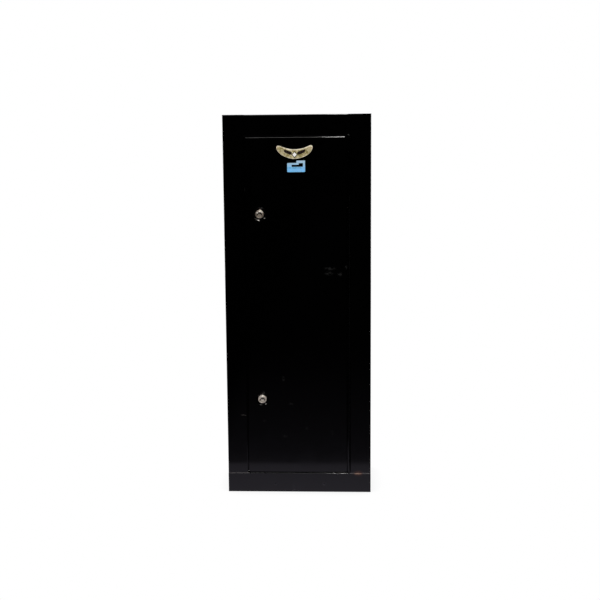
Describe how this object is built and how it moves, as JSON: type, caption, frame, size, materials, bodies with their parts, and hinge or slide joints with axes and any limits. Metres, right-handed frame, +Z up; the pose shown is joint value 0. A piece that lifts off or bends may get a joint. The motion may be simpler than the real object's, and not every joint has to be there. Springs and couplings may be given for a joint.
{
  "type": "gun safe",
  "caption": "Tall upright steel cabinet for long guns: inset door on a full-length side hinge, key cam locks, notched foam barrel rest.",
  "frame": {"origin": "on the floor, in the middle of the whole object's box", "axes": "+Z up, -Y out of the front, +X to the right as seen from the front, towards the hinge"},
  "size_m": [0.5334, 0.3118, 1.397],
  "materials": {
    "paint": "semi-gloss black powder coat",
    "collar": "gloss black",
    "nickel": "worn satin nickel",
    "zinc": "bright zinc plate",
    "foam": "open-cell charcoal foam",
    "gold": "printed vinyl",
    "blue": "printed vinyl"
  },
  "bodies": {
    "cabinet": {"left_side_panel": "paint", "right_side_panel": "paint", "back_panel": "paint", "top_panel": "paint", "bottom_pan": "paint", "front_sill": "paint", "sill_rivet_left": "paint", "sill_rivet_right": "paint", "barrel_rest_bracket": "paint", "barrel_rest_foam": "foam", "floor_foam": "foam", "hinge_frame_leaf": "paint", "hinge_pin": "zinc"},
    "door": {"door_skin": "paint", "door_stiffener": "paint", "hinge_door_leaf": "paint", "emblem_decal": "gold", "label_decal": "blue", "upper_lock_collar": "collar", "upper_lock_housing": "nickel", "upper_lock_washer": "zinc", "upper_lock_nut": "zinc", "lower_lock_collar": "collar", "lower_lock_housing": "nickel", "lower_lock_washer": "zinc", "lower_lock_nut": "zinc"},
    "upper_lock": {"upper_lock_plug": "nickel", "upper_lock_cam": "zinc", "upper_lock_cam_washer": "zinc", "upper_lock_cam_screw": "zinc"},
    "lower_lock": {"lower_lock_plug": "nickel", "lower_lock_cam": "zinc", "lower_lock_cam_washer": "zinc", "lower_lock_cam_screw": "zinc"}
  },
  "joints": [
    {"name": "door_hinge", "type": "hinge", "parent": "cabinet", "child": "door", "pos_m": [0.1854, -0.1509, 0.697], "axis": [0, 0, 1], "range_deg": [0, 170]},
    {"name": "upper_lock_turn", "type": "hinge", "parent": "door", "child": "upper_lock", "pos_m": [-0.1366, -0.1489, 1.0425], "axis": [0, 1, 0], "range_deg": [0, 90]},
    {"name": "lower_lock_turn", "type": "hinge", "parent": "door", "child": "lower_lock", "pos_m": [-0.1352, -0.1489, 0.357], "axis": [0, 1, 0], "range_deg": [0, 90]}
  ]
}
